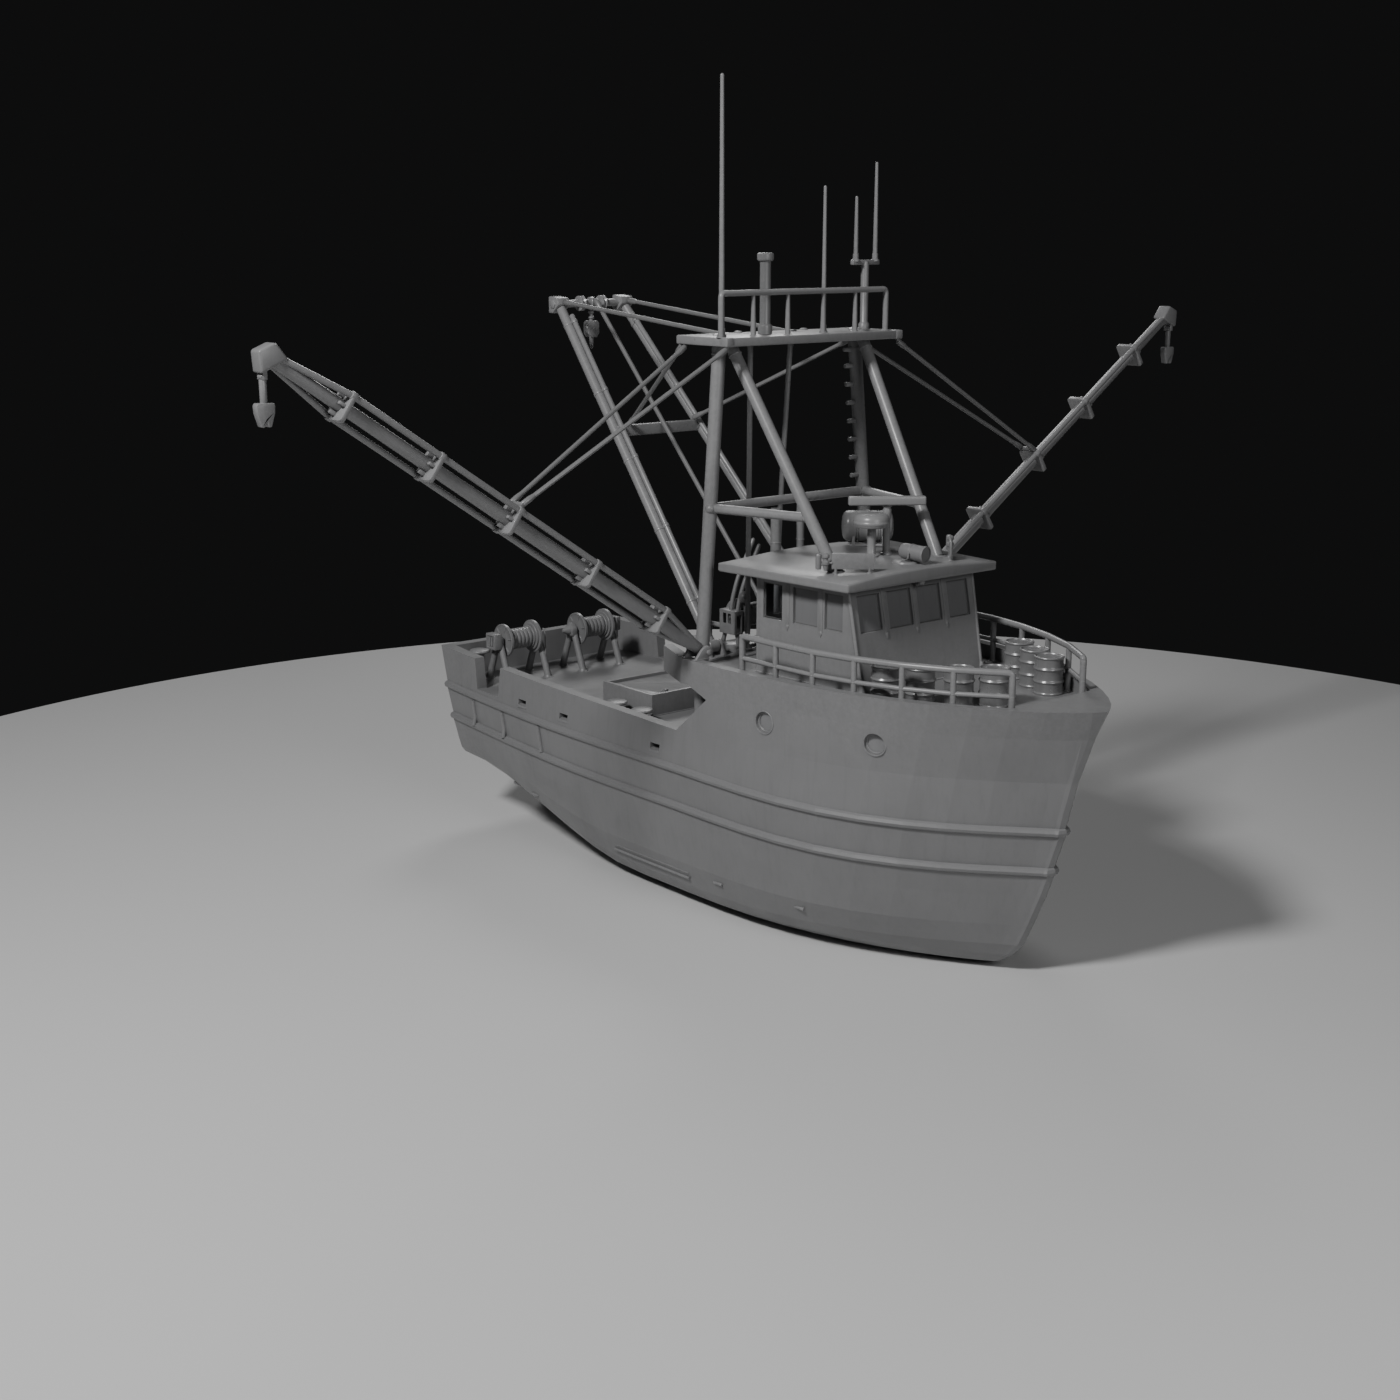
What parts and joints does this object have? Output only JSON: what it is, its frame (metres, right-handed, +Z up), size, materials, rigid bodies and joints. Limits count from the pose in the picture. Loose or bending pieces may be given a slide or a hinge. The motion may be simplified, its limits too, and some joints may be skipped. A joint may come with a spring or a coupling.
{
  "type": "fishing boat",
  "caption": "Steel fishing trawler with a raised foredeck, wheelhouse, mast, lowered outriggers, an aft boom, deck winches and fuel drums.",
  "frame": {"origin": "amidships on the centreline at the waterline", "axes": "+X to the bow, +Y to port, +Z up"},
  "size_m": [20.8696, 28.5332, 19.67],
  "materials": {
    "hull_paint": "satin",
    "house_paint": "satin",
    "rig_paint": "satin",
    "gear_paint": "satin",
    "drum_paint": "satin",
    "wire": "satin",
    "gel_coat": "satin",
    "bronze": "satin"
  },
  "bodies": {
    "boat": {"hull": "hull_paint", "wheelhouse_front": "house_paint", "wheelhouse_side_starboard": "house_paint", "wheelhouse_side_port": "house_paint", "wheelhouse_aft": "house_paint", "wheelhouse_roof": "house_paint", "foredeck_rail_starboard": "rig_paint", "foredeck_rail_port": "rig_paint", "drum_1": "drum_paint", "drum_2": "drum_paint", "drum_3": "drum_paint", "drum_4": "drum_paint", "drum_5": "drum_paint", "drum_6": "drum_paint", "drum_7": "drum_paint", "mast_frame": "rig_paint", "mast_platform": "rig_paint", "boom_foot_starboard": "rig_paint", "boom_foot_port": "rig_paint", "deck_pillar_starboard": "rig_paint", "deck_pillar_port": "rig_paint", "heel_bracket_starboard": "rig_paint", "heel_bracket_port": "rig_paint", "head_stay_starboard": "wire", "head_stay_port": "wire", "cross_stay_starboard": "wire", "cross_stay_port": "wire", "topping_stays_starboard": "wire", "topping_stays_port": "wire", "radar_pedestal": "gel_coat", "satellite_dome": "gel_coat", "liferaft_canister": "gel_coat", "searchlight": "gear_paint", "sidelight_starboard": "gear_paint", "sidelight_port": "gear_paint", "stern_winch_frame_1": "gear_paint", "stern_winch_frame_2": "gear_paint", "deck_winch_frame": "gear_paint", "hatch_coaming": "gear_paint", "exhaust_stacks": "gear_paint"},
    "aft_boom_body": {"aft_boom": "rig_paint"},
    "boom_block_body": {"boom_block": "rig_paint"},
    "deck_winch_drum_body": {"deck_winch_drum": "gear_paint"},
    "hatch_cover_body": {"hatch_cover": "gear_paint"},
    "outrigger_port_body": {"outrigger_port": "rig_paint"},
    "outrigger_starboard_body": {"outrigger_starboard": "rig_paint"},
    "outrigger_weight_port_body": {"outrigger_weight_port": "rig_paint"},
    "outrigger_weight_starboard_body": {"outrigger_weight_starboard": "rig_paint"},
    "propeller_body": {"propeller": "bronze"},
    "radar_bar_body": {"radar_bar": "gel_coat"},
    "rudder_body": {"rudder": "hull_paint"},
    "stern_winch_drum_1_body": {"stern_winch_drum_1": "gear_paint"},
    "stern_winch_drum_2_body": {"stern_winch_drum_2": "gear_paint"},
    "wheelhouse_door_body": {"wheelhouse_door": "house_paint"}
  },
  "joints": [
    {"name": "radar_turn", "type": "hinge", "parent": "boat", "child": "radar_bar_body", "pos_m": [3.144, 0.68, 7.68], "axis": [0, 0, 1], "continuous": true},
    {"name": "stern_winch_1_turn", "type": "hinge", "parent": "boat", "child": "stern_winch_drum_1_body", "pos_m": [-9.05, -1.53, 2.9], "axis": [0, 1, 0], "continuous": true},
    {"name": "stern_winch_2_turn", "type": "hinge", "parent": "boat", "child": "stern_winch_drum_2_body", "pos_m": [-9.05, 1.015, 2.9], "axis": [0, 1, 0], "continuous": true},
    {"name": "deck_winch_turn", "type": "hinge", "parent": "boat", "child": "deck_winch_drum_body", "pos_m": [-0.35, -0.31, 4.79], "axis": [0, 1, 0], "continuous": true},
    {"name": "propeller_turn", "type": "hinge", "parent": "boat", "child": "propeller_body", "pos_m": [-8.72, 0, -1.34], "axis": [1, 0, 0], "continuous": true},
    {"name": "rudder_turn", "type": "hinge", "parent": "boat", "child": "rudder_body", "pos_m": [-9.3, 0, -1], "axis": [0, 0, 1], "range_deg": [-35, 35]},
    {"name": "wheelhouse_door_swing", "type": "hinge", "parent": "boat", "child": "wheelhouse_door_body", "pos_m": [1.77, 0.41, 4.07], "axis": [0, 0, -1], "range_deg": [0, 100]},
    {"name": "hatch_cover_swing", "type": "hinge", "parent": "boat", "child": "hatch_cover_body", "pos_m": [-3.182, 0, 2.38], "axis": [0, 1, 0], "range_deg": [0, 100]},
    {"name": "boom_swing", "type": "hinge", "parent": "boat", "child": "aft_boom_body", "pos_m": [-0.16, 0, 4.2], "axis": [0, 1, 0], "range_deg": [-12, 10], "deforming": ["head_stay_starboard", "head_stay_port", "cross_stay_starboard", "cross_stay_port"]},
    {"name": "boom_block_hang", "type": "hinge", "parent": "aft_boom_body", "child": "boom_block_body", "pos_m": [-7.476, 0, 12.14], "axis": [0, 1, 0], "range_deg": [-10, 12]},
    {"name": "outrigger_starboard_lift", "type": "hinge", "parent": "boat", "child": "outrigger_starboard_body", "pos_m": [0.88, -3.1, 4.42], "axis": [-1, 0, 0], "range_deg": [-12, 46], "deforming": ["topping_stays_starboard"]},
    {"name": "outrigger_weight_starboard_hang", "type": "hinge", "parent": "outrigger_starboard_body", "child": "outrigger_weight_starboard_body", "pos_m": [0.88, -14.07656, 11.32531], "axis": [-1, 0, 0], "range_deg": [-46, 12]},
    {"name": "outrigger_port_lift", "type": "hinge", "parent": "boat", "child": "outrigger_port_body", "pos_m": [0.88, 3.1, 4.42], "axis": [1, 0, 0], "range_deg": [-12, 46], "deforming": ["topping_stays_port"]},
    {"name": "outrigger_weight_port_hang", "type": "hinge", "parent": "outrigger_port_body", "child": "outrigger_weight_port_body", "pos_m": [0.88, 14.07656, 11.32531], "axis": [1, 0, 0], "range_deg": [-46, 12]}
  ],
  "couplings": [
    {"joint": "boom_block_hang", "follows": "boom_swing", "ratio": -1},
    {"joint": "outrigger_weight_starboard_hang", "follows": "outrigger_starboard_lift", "ratio": -1},
    {"joint": "outrigger_weight_port_hang", "follows": "outrigger_port_lift", "ratio": -1}
  ]
}
